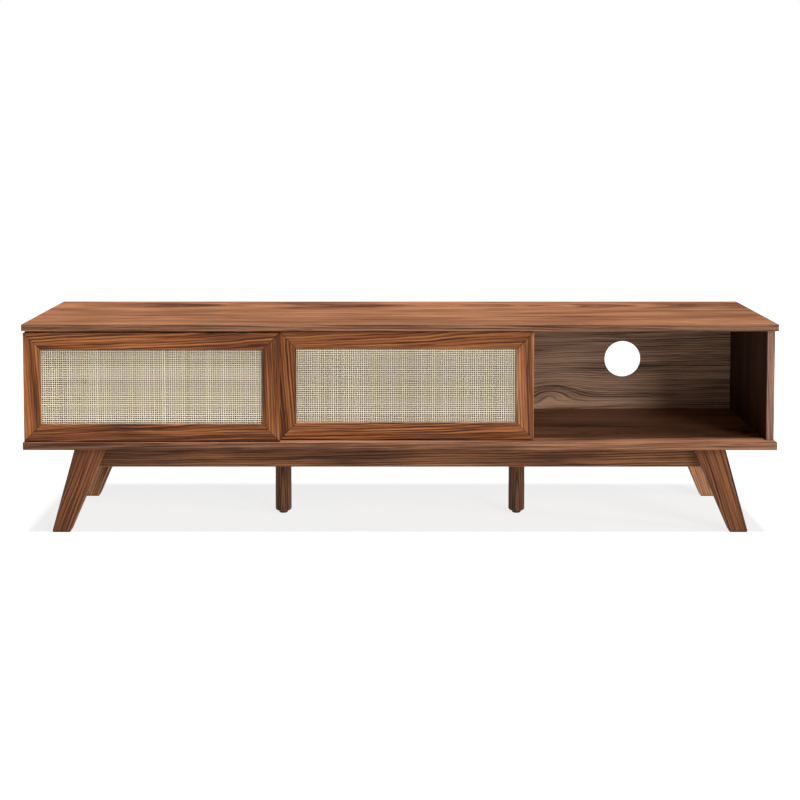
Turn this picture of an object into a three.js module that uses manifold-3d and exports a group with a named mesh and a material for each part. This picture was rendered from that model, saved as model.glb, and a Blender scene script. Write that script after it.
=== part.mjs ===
// A long, low console cabinet on splayed legs: three bays in a row, closed by two cane-fronted
// doors that slide past each other, so one bay always stands open.
//
// Millimetres. +X runs to the right of someone facing the doors, +Y to the back, +Z up.
// The origin is on the floor, under the middle of the top.

import * as THREE from "three";
import { mergeVertices } from "three/addons/utils/BufferGeometryUtils.js";
import Module from "manifold-3d";

// ---------------------------------------------------------------------------------------------
// Driving dimensions
// ---------------------------------------------------------------------------------------------

// Overall
const WIDTH = 1778;
const DEPTH = 394;
const HEIGHT = 505;
const LEG_HEIGHT = 207; // floor to the underside of the bottom panel

// Case boards
const TOP_THICKNESS = 16;
const BOARD = 18; // bottom panel, side panels and dividers
const SEAM = 0.3; // hairline left wherever two pieces meet
const SIDE_END_INSET = 3; // end of the top to the outer face of a side panel
const SIDE_FRONT_INSET = 20.6; // front edge of the top to the front edge of a side panel
const CASE_REAR_INSET = 4; // rear edge of the top to the rear edges of sides and dividers
const BACK_THICKNESS = 5;
const BACK_RECESS = 23; // rear edge of the top to the rear face of the back panels
const BACK_HOUSING = 6; // how deep the back panels are let into the boards around them
const CABLE_HOLE_DIAMETER = 94;

// Doors
const DOOR_THICKNESS = 15;
const DOOR_FRONT_INSET = 2.6; // front edge of the top to the face of the front door
const DOOR_TO_DOOR = 2.4; // air between the two doors
const DOOR_TO_DIVIDER = 2; // air between the rear door and the dividers
const DOOR_BOTTOM_GAP = 2;
const DOOR_TOP_GAP = 4.2;
const DOOR_MEMBER_WIDTH = 40.8; // face width of the stiles and rails
const MITRE_GAP = 0.2;
const REAR_DOOR_REST = 15.6; // where the rear door stands, right of the middle
const REAR_DOOR_END_GAP = 3; // rear door to a side panel at the end of its run

// Cane infill of a door
const CANE_THICKNESS = 2;
const CANE_LIP = 5; // wood in front of the cane
const CANE_REBATE = 8; // how far the cane runs in behind the frame

// Sliding gear
const GLIDE_LENGTH = 36;
const GLIDE_WIDTH = 9;
const GLIDE_SEAT = 10; // how far a glide is let into the edge of the door
const GLIDE_END_INSET = 70; // end of the door to the glide
const FIN_THICKNESS = 3.4;
const FIN_SIDE_CLEARANCE = 0.3;
const LOWER_GROOVE_DEPTH = 4;
const UPPER_GROOVE_DEPTH = 8;
const UPPER_FIN_REACH = 3.5; // how far a top fin stands into its groove
const RUN_CLEARANCE = 0.3; // under a lower fin, and at the end of a run

// Base frame and corner legs
const LEG_THICKNESS = 25;
const LEG_FRONT_INSET = 33; // front edge of the case to the face of a leg
const LEG_TOP_INSET = 115; // end of the case to the leg's outer edge, at the top
const LEG_TOP_WIDTH = 76;
const LEG_FOOT_INSET = 58; // the same at the floor
const LEG_FOOT_WIDTH = 43.5;
const FOOT_PAD_THICKNESS = 2;
const FOOT_PAD_MARGIN = 1.5;
const RAIL_THICKNESS = 18;
const RAIL_HEIGHT = 55;
const RAIL_END_INSET = 141; // end of the case to the end of the front and rear rails
const CORNER_BLOCK_SIZE = 48;
const CORNER_BLOCK_HEIGHT = 40;

// Middle legs
const MIDDLE_LEG_DIAMETER = 40;
const MIDDLE_LEG_END_RADIUS = 5;
const PLATE_DIAMETER = 64;
const PLATE_THICKNESS = 3;
const BOLT_DIAMETER = 8;
const BOLT_IN_LEG = 28;
const BOLT_IN_PANEL = 9;
const BORE_CLEARANCE = 0.3; // round a bolt or a glide stem
const FOOT_GLIDE_DIAMETER = 22;
const FOOT_GLIDE_HEIGHT = 6.4;
const FOOT_GLIDE_EDGE = 1.5;
const FOOT_GLIDE_STEM = 28;

const ROUND_SEGMENTS = 40;
const BORE_SEGMENTS = 20;
const HOLE_SEGMENTS = 48;

// ---------------------------------------------------------------------------------------------
// Levels and lines that follow from them
// ---------------------------------------------------------------------------------------------

const FRONT = -DEPTH / 2;
const REAR = DEPTH / 2;
const BAY_FLOOR = LEG_HEIGHT + BOARD;
const BAY_CEILING = HEIGHT - TOP_THICKNESS;

const CASE_HALF = WIDTH / 2 - SIDE_END_INSET; // outer faces of the side panels
const INNER_HALF = CASE_HALF - BOARD; // inner faces of the side panels
const BAY_WIDTH = (2 * INNER_HALF - 2 * BOARD) / 3;
const DIVIDER_X = (BAY_WIDTH + BOARD) / 2;

const DOOR_WIDTH = BAY_WIDTH + 2 * BOARD;
const DOOR_BOTTOM = BAY_FLOOR + DOOR_BOTTOM_GAP;
const DOOR_HEIGHT = BAY_CEILING - DOOR_TOP_GAP - DOOR_BOTTOM;
const FRONT_DOOR_FACE = FRONT + DOOR_FRONT_INSET;
const REAR_DOOR_FACE = FRONT_DOOR_FACE + DOOR_THICKNESS + DOOR_TO_DOOR;
const DIVIDER_FRONT = REAR_DOOR_FACE + DOOR_THICKNESS + DOOR_TO_DIVIDER;

const BACK_REAR_FACE = REAR - BACK_RECESS;
const BACK_FRONT_FACE = BACK_REAR_FACE - BACK_THICKNESS;

const FRONT_RAIL_FACE = FRONT + LEG_FRONT_INSET + LEG_THICKNESS + SEAM;
const RAIL_HALF = WIDTH / 2 - RAIL_END_INSET;
const RAIL_TOP = LEG_HEIGHT - SEAM;

const SIDES = [
  { side: "left", sign: -1 },
  { side: "right", sign: 1 },
];

// ---------------------------------------------------------------------------------------------
// Finishes
// ---------------------------------------------------------------------------------------------

const finish = (color, roughness, metalness = 0) =>
  new THREE.MeshStandardMaterial({ color, roughness, metalness });

const FINISHES = {
  topWalnut: finish(0xa16e52, 0.45),
  caseWalnut: finish(0x7c5440, 0.5),
  doorWalnut: finish(0x84502f, 0.45),
  baseWalnut: finish(0x6b452f, 0.5),
  backWalnut: finish(0x554338, 0.6),
  cane: finish(0xc8b794, 0.7),
  nylon: finish(0x1c1c1c, 0.5),
  felt: finish(0x262422, 0.95),
  steel: finish(0xa8a9ab, 0.35, 1),
  pine: finish(0xcdb089, 0.7),
};

const part = (name, geometry, material) => {
  const mesh = new THREE.Mesh(geometry, material.clone());
  mesh.name = name;
  return mesh;
};

// ---------------------------------------------------------------------------------------------
// Shapes
// ---------------------------------------------------------------------------------------------

const wasm = await Module();
wasm.setup();

/** The closed geometry as a solid that can be joined and cut. */
function toSolid(geometry) {
  const bare = geometry.clone();
  bare.deleteAttribute("normal");
  bare.deleteAttribute("uv");
  const merged = mergeVertices(bare, 1e-4);
  return new wasm.Manifold(
    new wasm.Mesh({
      numProp: 3,
      vertProperties: merged.attributes.position.array,
      triVerts: new Uint32Array(merged.index.array),
    }),
  );
}

/** A solid turned back into a geometry. */
function toGeometry(solid) {
  const mesh = solid.getMesh();
  const geometry = new THREE.BufferGeometry();
  geometry.setAttribute("position", new THREE.BufferAttribute(mesh.vertProperties, 3));
  geometry.setIndex(new THREE.BufferAttribute(mesh.triVerts, 1));
  geometry.computeVertexNormals();
  return geometry;
}

/** The geometry with every tool cut out of it. */
function cut(geometry, tools) {
  let solid = toSolid(geometry);
  for (const tool of tools) {
    solid = solid.subtract(toSolid(tool));
  }
  return toGeometry(solid);
}

/** Two geometries that share some space, joined into one. */
function join(first, second) {
  return toGeometry(toSolid(first).add(toSolid(second)));
}

/** A box between two limits along each axis. */
function block([x0, x1], [y0, y1], [z0, z1]) {
  const geometry = new THREE.BoxGeometry(x1 - x0, y1 - y0, z1 - z0);
  geometry.translate((x0 + x1) / 2, (y0 + y1) / 2, (z0 + z1) / 2);
  return geometry;
}

/** An outline in the upright XZ plane, given as [x, z] points, as thick as the limits along Y. */
function uprightBoard(points, [y0, y1], holes = []) {
  const shape = new THREE.Shape(points.map(([x, z]) => new THREE.Vector2(x, z)));
  shape.holes.push(...holes);
  const geometry = new THREE.ExtrudeGeometry(shape, {
    depth: y1 - y0,
    bevelEnabled: false,
    curveSegments: HOLE_SEGMENTS,
  });
  geometry.rotateX(Math.PI / 2);
  geometry.translate(0, y1, 0);
  return geometry;
}

/** A profile of [radius, height] points turned about the vertical axis. */
function turned(profile, segments = ROUND_SEGMENTS) {
  const points = profile.map(([radius, height]) => new THREE.Vector2(radius, height));
  const geometry = new THREE.LatheGeometry(points, segments);
  geometry.rotateX(Math.PI / 2);
  return geometry;
}

// ---------------------------------------------------------------------------------------------
// Case: top, bottom, sides, dividers and back
// ---------------------------------------------------------------------------------------------

/** Half the length of a track groove, so that its ends stop the door's glides. */
const trackHalf = (doorRunHalf) => doorRunHalf - GLIDE_END_INSET + RUN_CLEARANCE;

const TRACKS = [
  { face: FRONT_DOOR_FACE, half: trackHalf(CASE_HALF) },
  { face: REAR_DOOR_FACE, half: trackHalf(INNER_HALF - REAR_DOOR_END_GAP) },
];

/** The grooves that both doors run in, between two heights. */
function trackGrooves(zLimits) {
  const halfWidth = FIN_THICKNESS / 2 + FIN_SIDE_CLEARANCE;
  return TRACKS.map(({ face, half }) => {
    const middle = face + DOOR_THICKNESS / 2;
    return block([-half, half], [middle - halfWidth, middle + halfWidth], zLimits);
  });
}

/** The groove along a horizontal panel that takes the edges of the back panels. */
function backGroove(zLimits) {
  const half = INNER_HALF + BACK_HOUSING;
  return block([-half, half], [BACK_FRONT_FACE - SEAM, BACK_REAR_FACE + SEAM], zLimits);
}

function topPanel() {
  const board = block([-WIDTH / 2, WIDTH / 2], [FRONT, REAR], [BAY_CEILING, HEIGHT]);
  return cut(board, [
    ...trackGrooves([BAY_CEILING - 1, BAY_CEILING + UPPER_GROOVE_DEPTH]),
    backGroove([BAY_CEILING - 1, BAY_CEILING + BACK_HOUSING]),
  ]);
}

/** Hole in the underside of the bottom panel for the bolt of a middle leg. */
function boltHole(x) {
  const radius = BOLT_DIAMETER / 2 + BORE_CLEARANCE;
  const height = BOLT_IN_PANEL + BORE_CLEARANCE + 1;
  const geometry = new THREE.CylinderGeometry(radius, radius, height, BORE_SEGMENTS);
  geometry.rotateX(Math.PI / 2);
  geometry.translate(x, 0, LEG_HEIGHT - 1 + height / 2);
  return geometry;
}

function bottomPanel() {
  const board = block([-WIDTH / 2, WIDTH / 2], [FRONT, REAR], [LEG_HEIGHT, BAY_FLOOR]);
  return cut(board, [
    ...trackGrooves([BAY_FLOOR - LOWER_GROOVE_DEPTH, BAY_FLOOR + 1]),
    backGroove([BAY_FLOOR - BACK_HOUSING, BAY_FLOOR + 1]),
    ...SIDES.map(({ sign }) => boltHole(sign * DIVIDER_X)),
  ]);
}

/** A standing board with a groove for a back panel in each face that is given as -1 or 1. */
function standingBoard(middle, front, groovedFaces) {
  const zLimits = [BAY_FLOOR + SEAM, BAY_CEILING - SEAM];
  const board = block(
    [middle - BOARD / 2, middle + BOARD / 2],
    [front, REAR - CASE_REAR_INSET],
    zLimits,
  );
  const grooves = groovedFaces.map((facing) => {
    const edge = middle + (facing * BOARD) / 2;
    const xLimits = [edge - facing * BACK_HOUSING, edge + facing].sort((a, b) => a - b);
    return block(
      xLimits,
      [BACK_FRONT_FACE - SEAM, BACK_REAR_FACE + SEAM],
      [BAY_FLOOR - 1, BAY_CEILING + 1],
    );
  });
  return cut(board, grooves);
}

function backPanel(middle, hasCableHole) {
  const letIn = BACK_HOUSING - SEAM;
  const halfWidth = BAY_WIDTH / 2 + letIn;
  const low = BAY_FLOOR - letIn;
  const high = BAY_CEILING + letIn;
  const cableHole = new THREE.Path().absarc(
    middle,
    (BAY_FLOOR + BAY_CEILING) / 2,
    CABLE_HOLE_DIAMETER / 2,
    0,
    2 * Math.PI,
    true,
  );
  return uprightBoard(
    [
      [middle - halfWidth, low],
      [middle + halfWidth, low],
      [middle + halfWidth, high],
      [middle - halfWidth, high],
    ],
    [BACK_FRONT_FACE, BACK_REAR_FACE],
    hasCableHole ? [cableHole] : [],
  );
}

function buildCase() {
  const group = new THREE.Group();
  group.add(part("top_panel", topPanel(), FINISHES.topWalnut));
  group.add(part("bottom_panel", bottomPanel(), FINISHES.caseWalnut));
  for (const { side, sign } of SIDES) {
    const panel = standingBoard(sign * (CASE_HALF - BOARD / 2), FRONT + SIDE_FRONT_INSET, [-sign]);
    const divider = standingBoard(sign * DIVIDER_X, DIVIDER_FRONT, [-1, 1]);
    group.add(part(side + "_side_panel", panel, FINISHES.caseWalnut));
    group.add(part(side + "_divider", divider, FINISHES.caseWalnut));
  }
  const bayPitch = BAY_WIDTH + BOARD;
  // Only the open bay's back has a cable hole.
  for (const [bay, place] of [["left", -1], ["middle", 0], ["right", 1]]) {
    const panel = backPanel(place * bayPitch, bay === "right");
    group.add(part(bay + "_back_panel", panel, FINISHES.backWalnut));
  }
  return group;
}

// ---------------------------------------------------------------------------------------------
// Doors. A door is built centred in x, with its lower edge at z = 0 and its face at y = 0
// ---------------------------------------------------------------------------------------------

/**
 * One mitred member of a door frame, lying along the bottom edge of a door of that length.
 * turns is the number of quarter turns that carry it round to its own edge.
 */
function frameMember(length, across, turns) {
  const half = length / 2;
  const member = uprightBoard(
    [
      [-half + MITRE_GAP, -across / 2],
      [half - MITRE_GAP, -across / 2],
      [half - DOOR_MEMBER_WIDTH - MITRE_GAP, -across / 2 + DOOR_MEMBER_WIDTH],
      [-half + DOOR_MEMBER_WIDTH + MITRE_GAP, -across / 2 + DOOR_MEMBER_WIDTH],
    ],
    [0, DOOR_THICKNESS],
  );
  member.rotateY((-turns * Math.PI) / 2);
  member.translate(0, 0, DOOR_HEIGHT / 2);
  return member;
}

/** The space behind the frame's lip that takes the cane and the beads. */
function caneRebate() {
  const halfWidth = DOOR_WIDTH / 2 - DOOR_MEMBER_WIDTH + CANE_REBATE;
  const low = DOOR_MEMBER_WIDTH - CANE_REBATE;
  return block(
    [-halfWidth, halfWidth],
    [CANE_LIP, DOOR_THICKNESS + 1],
    [low, DOOR_HEIGHT - low],
  );
}

const GLIDE_X = DOOR_WIDTH / 2 - GLIDE_END_INSET - GLIDE_LENGTH / 2;

/** A block on the edge of the door at one glide, with room all round. */
function glideBlock(x, width, room, zLimits) {
  const halfLength = GLIDE_LENGTH / 2 + room;
  const halfWidth = width / 2 + room;
  const middle = DOOR_THICKNESS / 2;
  return block([x - halfLength, x + halfLength], [middle - halfWidth, middle + halfWidth], zLimits);
}

const lowerGlide = (x) =>
  join(
    glideBlock(x, GLIDE_WIDTH, 0, [0, GLIDE_SEAT]),
    glideBlock(x, FIN_THICKNESS, 0, [-DOOR_BOTTOM_GAP - LOWER_GROOVE_DEPTH + RUN_CLEARANCE, 1]),
  );

const upperGlide = (x) =>
  join(
    glideBlock(x, GLIDE_WIDTH, 0, [DOOR_HEIGHT - GLIDE_SEAT, DOOR_HEIGHT]),
    glideBlock(x, FIN_THICKNESS, 0, [DOOR_HEIGHT - 1, DOOR_HEIGHT + DOOR_TOP_GAP + UPPER_FIN_REACH]),
  );

/** The four beads that hold the cane in its rebate, as [name, geometry]. */
function caneBeads() {
  const outerHalf = DOOR_WIDTH / 2 - DOOR_MEMBER_WIDTH + CANE_REBATE - SEAM;
  const innerHalf = DOOR_WIDTH / 2 - DOOR_MEMBER_WIDTH;
  const low = DOOR_MEMBER_WIDTH - CANE_REBATE + SEAM;
  const lowInner = DOOR_MEMBER_WIDTH;
  const highInner = DOOR_HEIGHT - lowInner;
  const high = DOOR_HEIGHT - low;
  const yLimits = [CANE_LIP + CANE_THICKNESS + 2 * SEAM, DOOR_THICKNESS];
  const between = [lowInner + SEAM, highInner - SEAM];
  return [
    ["lower_bead", block([-outerHalf, outerHalf], yLimits, [low, lowInner])],
    ["upper_bead", block([-outerHalf, outerHalf], yLimits, [highInner, high])],
    ["left_bead", block([-outerHalf, -innerHalf], yLimits, between)],
    ["right_bead", block([innerHalf, outerHalf], yLimits, between)],
  ];
}

function canePanel() {
  const halfWidth = DOOR_WIDTH / 2 - DOOR_MEMBER_WIDTH + CANE_REBATE - SEAM;
  const low = DOOR_MEMBER_WIDTH - CANE_REBATE + SEAM;
  return block(
    [-halfWidth, halfWidth],
    [CANE_LIP + SEAM, CANE_LIP + SEAM + CANE_THICKNESS],
    [low, DOOR_HEIGHT - low],
  );
}

function buildDoor(door, x, face) {
  const group = new THREE.Group();
  group.position.set(x, face, DOOR_BOTTOM);

  const seat = GLIDE_SEAT + SEAM;
  const lowerSeats = [-1, 1].map((sign) => glideBlock(sign * GLIDE_X, GLIDE_WIDTH, SEAM, [-1, seat]));
  const upperSeats = [-1, 1].map((sign) =>
    glideBlock(sign * GLIDE_X, GLIDE_WIDTH, SEAM, [DOOR_HEIGHT - seat, DOOR_HEIGHT + 1]),
  );
  const members = [
    ["bottom_rail", frameMember(DOOR_WIDTH, DOOR_HEIGHT, 0), lowerSeats],
    ["right_stile", frameMember(DOOR_HEIGHT, DOOR_WIDTH, 1), []],
    ["top_rail", frameMember(DOOR_WIDTH, DOOR_HEIGHT, 2), upperSeats],
    ["left_stile", frameMember(DOOR_HEIGHT, DOOR_WIDTH, 3), []],
  ];
  for (const [name, geometry, seats] of members) {
    group.add(part(`${door}_${name}`, cut(geometry, [caneRebate(), ...seats]), FINISHES.doorWalnut));
  }

  group.add(part(door + "_cane", canePanel(), FINISHES.cane));
  for (const [name, geometry] of caneBeads()) {
    group.add(part(`${door}_${name}`, geometry, FINISHES.doorWalnut));
  }
  for (const { side, sign } of SIDES) {
    group.add(part(`${door}_${side}_lower_glide`, lowerGlide(sign * GLIDE_X), FINISHES.nylon));
    group.add(part(`${door}_${side}_upper_glide`, upperGlide(sign * GLIDE_X), FINISHES.nylon));
  }
  return group;
}

// ---------------------------------------------------------------------------------------------
// Base: rails, corner blocks, splayed legs and their pads
// ---------------------------------------------------------------------------------------------

/** A splayed leg's outline on one side, tapering from the case down to its pad. */
function legOutline(sign) {
  const end = WIDTH / 2;
  const foot = FOOT_PAD_THICKNESS + SEAM;
  return [
    [sign * (end - LEG_FOOT_INSET), foot],
    [sign * (end - LEG_TOP_INSET), LEG_HEIGHT - SEAM],
    [sign * (end - LEG_TOP_INSET - LEG_TOP_WIDTH), LEG_HEIGHT - SEAM],
    [sign * (end - LEG_FOOT_INSET - LEG_FOOT_WIDTH), foot],
  ];
}

function footPad(sign, [y0, y1]) {
  const outer = sign * (WIDTH / 2 - LEG_FOOT_INSET - FOOT_PAD_MARGIN);
  const inner = sign * (WIDTH / 2 - LEG_FOOT_INSET - LEG_FOOT_WIDTH + FOOT_PAD_MARGIN);
  return block(
    [Math.min(outer, inner), Math.max(outer, inner)],
    [y0 + FOOT_PAD_MARGIN, y1 - FOOT_PAD_MARGIN],
    [0, FOOT_PAD_THICKNESS],
  );
}

/** A three-cornered block in the angle between a long rail and a side rail. */
function cornerBlock(sign, row) {
  const x = sign * (RAIL_HALF - RAIL_THICKNESS - SEAM);
  const y = row * -(FRONT_RAIL_FACE + RAIL_THICKNESS + SEAM);
  const corner = new THREE.Shape([
    new THREE.Vector2(x, y),
    new THREE.Vector2(x - sign * CORNER_BLOCK_SIZE, y),
    new THREE.Vector2(x, y - row * CORNER_BLOCK_SIZE),
  ]);
  const geometry = new THREE.ExtrudeGeometry(corner, {
    depth: CORNER_BLOCK_HEIGHT,
    bevelEnabled: false,
  });
  geometry.translate(0, 0, RAIL_TOP - CORNER_BLOCK_HEIGHT);
  return geometry;
}

function buildBase() {
  const group = new THREE.Group();
  const rows = [
    { row: "front", depthSign: -1 },
    { row: "rear", depthSign: 1 },
  ];
  const railHeights = [RAIL_TOP - RAIL_HEIGHT, RAIL_TOP];
  const railInner = FRONT_RAIL_FACE + RAIL_THICKNESS;

  for (const { row, depthSign } of rows) {
    const railLimits = [FRONT_RAIL_FACE, railInner].map((y) => -depthSign * y).sort((a, b) => a - b);
    const legFront = FRONT + LEG_FRONT_INSET;
    const legLimits = [legFront, legFront + LEG_THICKNESS]
      .map((y) => -depthSign * y)
      .sort((a, b) => a - b);

    const rail = block([-RAIL_HALF, RAIL_HALF], railLimits, railHeights);
    group.add(part(row + "_rail", rail, FINISHES.baseWalnut));
    for (const { side, sign } of SIDES) {
      const corner = `${row}_${side}`;
      group.add(part(corner + "_leg", uprightBoard(legOutline(sign), legLimits), FINISHES.baseWalnut));
      group.add(part(corner + "_foot_pad", footPad(sign, legLimits), FINISHES.felt));
      group.add(part(corner + "_corner_block", cornerBlock(sign, depthSign), FINISHES.pine));
    }
  }

  for (const { side, sign } of SIDES) {
    const xLimits = [sign * RAIL_HALF, sign * (RAIL_HALF - RAIL_THICKNESS)].sort((a, b) => a - b);
    const rail = block(xLimits, [railInner + SEAM, -railInner - SEAM], railHeights);
    group.add(part(side + "_rail", rail, FINISHES.baseWalnut));
  }
  return group;
}

// ---------------------------------------------------------------------------------------------
// Middle legs: a turned post, its plate and bolt, and the screw-in glide under it
// ---------------------------------------------------------------------------------------------

const POST_BOTTOM = FOOT_GLIDE_HEIGHT + SEAM;
const POST_TOP = LEG_HEIGHT - PLATE_THICKNESS - 2 * SEAM;

function middlePost() {
  const radius = MIDDLE_LEG_DIAMETER / 2;
  const bore = BOLT_DIAMETER / 2 + BORE_CLEARANCE;
  const rounding = [0, 0.25, 0.5, 0.75, 1].map((share) => {
    const angle = (share * Math.PI) / 2;
    return [
      radius - MIDDLE_LEG_END_RADIUS * (1 - Math.sin(angle)),
      POST_BOTTOM + MIDDLE_LEG_END_RADIUS * (1 - Math.cos(angle)),
    ];
  });
  const stemTop = POST_BOTTOM + FOOT_GLIDE_STEM + BORE_CLEARANCE;
  const boltBottom = POST_TOP - BOLT_IN_LEG - BORE_CLEARANCE;
  return turned([
    [0, stemTop],
    [bore, stemTop],
    [bore, POST_BOTTOM],
    ...rounding,
    [radius, POST_TOP],
    [bore, POST_TOP],
    [bore, boltBottom],
    [0, boltBottom],
  ]);
}

function footGlide() {
  const radius = FOOT_GLIDE_DIAMETER / 2;
  const stem = BOLT_DIAMETER / 2;
  return turned([
    [0, 0],
    [radius - FOOT_GLIDE_EDGE, 0],
    [radius, FOOT_GLIDE_EDGE],
    [radius, FOOT_GLIDE_HEIGHT - FOOT_GLIDE_EDGE],
    [radius - FOOT_GLIDE_EDGE, FOOT_GLIDE_HEIGHT],
    [stem, FOOT_GLIDE_HEIGHT],
    [stem, POST_BOTTOM + FOOT_GLIDE_STEM],
    [0, POST_BOTTOM + FOOT_GLIDE_STEM],
  ]);
}

function mountingPlate() {
  const bore = BOLT_DIAMETER / 2 + BORE_CLEARANCE;
  const low = POST_TOP + SEAM;
  const high = low + PLATE_THICKNESS;
  return turned([
    [bore, low],
    [PLATE_DIAMETER / 2, low],
    [PLATE_DIAMETER / 2, high],
    [bore, high],
    [bore, low],
  ]);
}

function hangerBolt() {
  const radius = BOLT_DIAMETER / 2;
  const low = POST_TOP - BOLT_IN_LEG;
  const high = LEG_HEIGHT + BOLT_IN_PANEL;
  return turned([[0, low], [radius, low], [radius, high], [0, high]], BORE_SEGMENTS);
}

function buildMiddleLeg(side, x) {
  const group = new THREE.Group();
  group.position.set(x, 0, 0);
  group.add(part(side + "_middle_leg", middlePost(), FINISHES.baseWalnut));
  group.add(part(side + "_middle_leg_plate", mountingPlate(), FINISHES.steel));
  group.add(part(side + "_middle_leg_bolt", hangerBolt(), FINISHES.steel));
  group.add(part(side + "_foot_glide", footGlide(), FINISHES.nylon));
  return group;
}

// ---------------------------------------------------------------------------------------------
// The whole console
// ---------------------------------------------------------------------------------------------

const mediaConsole = new THREE.Group();
mediaConsole.add(buildCase());
mediaConsole.add(buildDoor("front_door", -(CASE_HALF - DOOR_WIDTH / 2), FRONT_DOOR_FACE));
mediaConsole.add(buildDoor("rear_door", REAR_DOOR_REST, REAR_DOOR_FACE));
mediaConsole.add(buildBase());
for (const { side, sign } of SIDES) {
  mediaConsole.add(buildMiddleLeg(side, sign * DIVIDER_X));
}

export default mediaConsole;
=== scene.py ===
"""Looks of a low console cabinet with two sliding cane doors, built around its fixed frame.

Everything is in metres, +X to the right of someone facing the doors, +Y to the back and +Z up.
"""

import logging
import math
import random
from dataclasses import dataclass, field, replace
from enum import Enum

import bmesh
import bpy
from mathutils import Matrix, Vector, noise


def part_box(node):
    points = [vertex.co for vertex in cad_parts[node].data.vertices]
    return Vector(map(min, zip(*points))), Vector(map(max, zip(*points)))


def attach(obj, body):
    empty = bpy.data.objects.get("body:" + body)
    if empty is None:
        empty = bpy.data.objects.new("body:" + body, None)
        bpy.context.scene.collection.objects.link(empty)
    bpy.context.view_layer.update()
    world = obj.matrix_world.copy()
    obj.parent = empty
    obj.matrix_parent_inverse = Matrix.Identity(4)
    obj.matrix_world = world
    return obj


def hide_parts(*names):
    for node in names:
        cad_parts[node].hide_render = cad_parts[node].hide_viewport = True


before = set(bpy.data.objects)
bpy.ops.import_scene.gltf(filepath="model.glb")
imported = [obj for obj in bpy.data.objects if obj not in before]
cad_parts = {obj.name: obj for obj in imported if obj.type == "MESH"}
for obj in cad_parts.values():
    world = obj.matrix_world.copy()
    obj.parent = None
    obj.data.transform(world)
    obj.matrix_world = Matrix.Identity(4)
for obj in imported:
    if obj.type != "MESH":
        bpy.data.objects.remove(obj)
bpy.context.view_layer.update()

log = logging.getLogger("console_looks")

Triple = tuple[float, float, float]
Limits = tuple[Vector, Vector]
Socket = bpy.types.NodeSocket
Material = bpy.types.Material
Piece = bpy.types.Object

CASE = "case"
SIDES = (("left", -1), ("right", 1))
# Distances in metres under which two places count as one.
NEAR = 1e-6
EXACT = 1e-7


# --- Node trees ---------------------------------------------------------------------------------


def linear(red: int, green: int, blue: int) -> Triple:
    """A colour picked on screen, from 0 to 255, as the linear values that shaders use."""
    shares = [channel / 255 for channel in (red, green, blue)]
    return tuple(s / 12.92 if s <= 0.04045 else ((s + 0.055) / 1.055) ** 2.4 for s in shares)


def shades(*picked: tuple[int, int, int]) -> tuple[Triple, ...]:
    """Several colours picked on screen as linear ones."""
    return tuple(linear(*colour) for colour in picked)


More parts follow.
